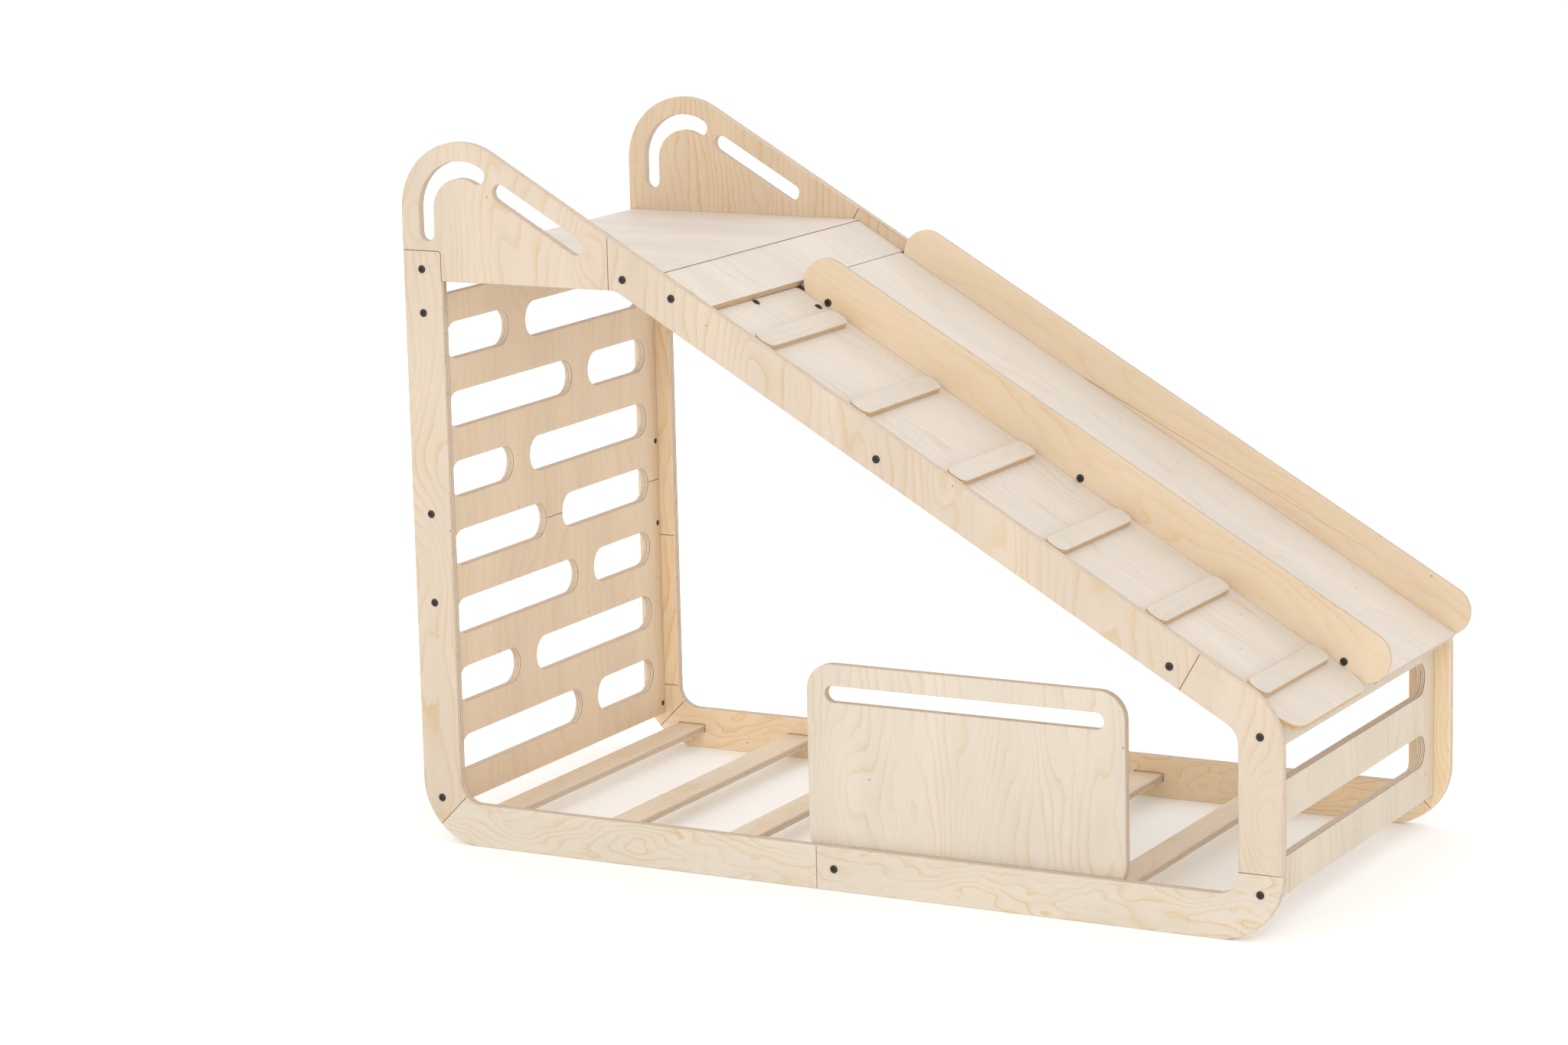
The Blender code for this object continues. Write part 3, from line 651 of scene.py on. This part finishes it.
def finish_steel(name, bm, foot, out, mat, stands_for=()):
    """Turn a fastener's axis to point out, set it on its foot and finish it."""
    bmesh.ops.recalc_face_normals(bm, faces=bm.faces)
    turn = UP.rotation_difference(out).to_matrix().to_4x4()
    bmesh.ops.transform(bm, matrix=Matrix.Translation(foot) @ turn, verts=bm.verts)
    for item in bm.faces:
        item.smooth = True
    piece = finish_piece(name, bm, mat, stands_for)
    piece.data.set_sharp_from_angle(angle=STEEL_CREASE)


def middle_of(node):
    """Mean of a CAD piece's corners."""
    points = [vert.co for vert in NODES[node].data.vertices]
    return sum(points, Vector()) / len(points)


def top_of(node, out):
    """How far a CAD piece reaches along a direction."""
    return max(vert.co.dot(out) for vert in NODES[node].data.vertices)


def screw_head(name, foot, out, mat, stands_for=()):
    """Low button head with a rolled rim and a hexagon socket, with its shank."""
    bm = turned([(0.0, -12.0), (3.0, -12.0), (3.0, -0.02), (7.25, -0.02), (7.25, 0.55),
                 (6.95, 1.25), (6.2, 1.95), (5.0, 2.4), (4.1, HEAD_RISE), (3.7, 2.45),
                 (3.4, 2.2), (2.6, 2.15)], 40)
    mouth = [edge for edge in bm.edges if edge.is_boundary]
    hexagon = bmesh.ops.create_circle(bm, cap_ends=False, radius=SOCKET_RADIUS * MM,
                                      segments=6)["verts"]
    bmesh.ops.translate(bm, verts=hexagon, vec=(0, 0, SOCKET_MOUTH * MM))
    inner = [edge for edge in bm.edges if edge.is_wire]
    bmesh.ops.bridge_loops(bm, edges=mouth + inner)
    deep = bmesh.ops.extrude_edge_only(bm, edges=inner)["geom"]
    low = [item for item in deep if isinstance(item, bmesh.types.BMVert)]
    bmesh.ops.translate(bm, verts=low, vec=(0, 0, -SOCKET_DEPTH * MM))
    bmesh.ops.contextual_create(bm, geom=[item for item in deep
                                          if isinstance(item, bmesh.types.BMEdge)])
    finish_steel(name, bm, foot, out, mat, stands_for)


class SLIDEBED_OT_screws(bpy.types.Operator):
    """Make the screw heads, with the far side's as mirror images of the near side's"""
    bl_idname = "slide_bed.screws"
    bl_label = "Screws"

    def execute(self, context):
        mat = black_steel()
        centre = spot(0, WIDTH / 2, 0).y
        for node in sorted(name for name in NODES if name.startswith("bolt_")):
            out = OFF_SLOPE if "ramp" in node else -ACROSS
            middle = middle_of(node)
            foot = middle + out * (top_of(node, out) - HEAD_RISE * MM - middle.dot(out))
            screw_head(node.replace("bolt", "screw"), foot, out, mat, (node,))
            if "slide" not in node and "ramp" not in node:
                far = Vector((foot.x, 2 * centre - foot.y, foot.z))
                screw_head(node.replace("bolt", "far_screw"), far, ACROSS, mat)
        return {"FINISHED"}


def barrel_nut(name, foot, out, mat):
    """Cross dowel in a board's face: a nearly flush steel disc inside a groove and a rim."""
    bm = turned([(0.0, 0.25), (4.6, 0.25), (5.0, 0.05), (5.1, -0.05), (5.6, 0.12),
                 (5.6, -0.6)], 32)
    bmesh.ops.contextual_create(bm, geom=[edge for edge in bm.edges if edge.is_boundary])
    finish_steel(name, bm, foot, out, mat)


class SLIDEBED_OT_barrel_nuts(bpy.types.Operator):
    """Make the barrel nuts that the frame screws are tightened into"""
    bl_idname = "slide_bed.barrel_nuts"
    bl_label = "Barrel nuts"

    def execute(self, context):
        mat = black_steel()
        boards = {"post_wall_a": ("climbing_wall_upper", ALONG),
                  "post_wall_b": ("climbing_wall_upper", ALONG),
                  "post_wall_c": ("climbing_wall_lower", ALONG),
                  "post_wall_d": ("climbing_wall_lower", ALONG),
                  "post_deck": ("deck_board", -UP), "beam_deck": ("deck_board", -UP),
                  "beam_incline": ("incline_board", -OFF_SLOPE),
                  "beam_batten_a": ("cross_batten_upper", -OFF_SLOPE),
                  "beam_batten_b": ("cross_batten_lower", -OFF_SLOPE),
                  "foot_end_a": ("end_panel", -ALONG), "foot_end_b": ("end_panel", -ALONG),
                  "rail_slat": ("bed_slat_4", -UP)}
        for hole, (node, out) in boards.items():
            foot = middle_of("bolt_" + hole)
            foot += out * (top_of(node, out) - foot.dot(out))
            for side, inset in (("near", NUT_INSET), ("far", WIDTH - NUT_INSET)):
                foot.y = spot(0, inset, 0).y
                barrel_nut("nut_%s_%s" % (hole, side), foot, out, mat)
        return {"FINISHED"}


class SLIDEBED_OT_stage(bpy.types.Operator):
    """Set up the floor, the soft light and the camera"""
    bl_idname = "slide_bed.stage"
    bl_label = "Stage"

    def execute(self, context):
        scene = context.scene
        wish = scene.slide_bed_stage
        bm = bmesh.new()
        bmesh.ops.create_grid(bm, x_segments=1, y_segments=1, size=FLOOR_HALF)
        mesh = bpy.data.meshes.new("floor")
        bm.to_mesh(mesh)
        bm.free()
        mesh.materials.append(pale_floor())
        floor = bpy.data.objects.new("floor", mesh)
        scene.collection.objects.link(floor)

        world = bpy.data.worlds.new("studio")
        world.use_nodes = True
        back = world.node_tree.nodes["Background"]
        back.inputs["Color"].default_value = (1.0, 1.0, 1.0, 1.0)
        back.inputs["Strength"].default_value = wish.sky
        scene.world = world
        lamp = bpy.data.lights.new("soft_box", "AREA")
        lamp.shape = "RECTANGLE"
        lamp.size, lamp.size_y = BOX_SIZE
        lamp.energy = wish.key
        box = bpy.data.objects.new("soft_box", lamp)
        box.location = BOX_PLACE
        box.rotation_euler = (BOX_AIM - box.location).to_track_quat("-Z", "Y").to_euler()
        scene.collection.objects.link(box)

        view = bpy.data.cameras.new("camera")
        view.lens, view.sensor_width = wish.lens, SENSOR
        view.clip_end = FAR_CLIP
        camera = bpy.data.objects.new("camera", view)
        camera.location = CAMERA_PLACE
        camera.rotation_euler = CAMERA_TURN
        scene.collection.objects.link(camera)
        scene.camera = camera
        scene.view_settings.view_transform = "Standard"
        return {"FINISHED"}


STEPS = (SLIDEBED_OT_side_frames, SLIDEBED_OT_climbing_wall, SLIDEBED_OT_deck,
         SLIDEBED_OT_ramp, SLIDEBED_OT_slide, SLIDEBED_OT_panels, SLIDEBED_OT_slats,
         SLIDEBED_OT_screws, SLIDEBED_OT_barrel_nuts, SLIDEBED_OT_stage)


class SLIDEBED_PT_panel(bpy.types.Panel):
    """Buttons and settings for the slide bed"""
    bl_idname = "SLIDEBED_PT_panel"
    bl_label = "Slide bed"
    bl_space_type = "VIEW_3D"
    bl_region_type = "UI"
    bl_category = "Slide bed"

    def draw(self, context):
        for group in ("slide_bed_boards", "slide_bed_veneers", "slide_bed_stage"):
            settings = getattr(context.scene, group)
            box = self.layout.box()
            for name in settings.__annotations__:
                box.prop(settings, name)
        for step in STEPS:
            self.layout.operator(step.bl_idname)


CLASSES = (BoardSettings, VeneerSettings, StageSettings, *STEPS, SLIDEBED_PT_panel)


def register():
    """Add the settings and the operators to Blender."""
    for item in CLASSES:
        bpy.utils.register_class(item)
    scene = bpy.types.Scene
    scene.slide_bed_boards = bpy.props.PointerProperty(type=BoardSettings)
    scene.slide_bed_veneers = bpy.props.PointerProperty(type=VeneerSettings)
    scene.slide_bed_stage = bpy.props.PointerProperty(type=StageSettings)


def unregister():
    """Take the settings and the operators away again."""
    for name in ("slide_bed_boards", "slide_bed_veneers", "slide_bed_stage"):
        delattr(bpy.types.Scene, name)
    for item in reversed(CLASSES):
        bpy.utils.unregister_class(item)


def main():
    """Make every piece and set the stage."""
    register()
    bpy.ops.slide_bed.side_frames()
    bpy.ops.slide_bed.climbing_wall()
    bpy.ops.slide_bed.deck()
    bpy.ops.slide_bed.ramp()
    bpy.ops.slide_bed.slide()
    bpy.ops.slide_bed.panels()
    bpy.ops.slide_bed.slats()
    bpy.ops.slide_bed.screws()
    bpy.ops.slide_bed.barrel_nuts()
    bpy.ops.slide_bed.stage()


if __name__ == "__main__":
    main()
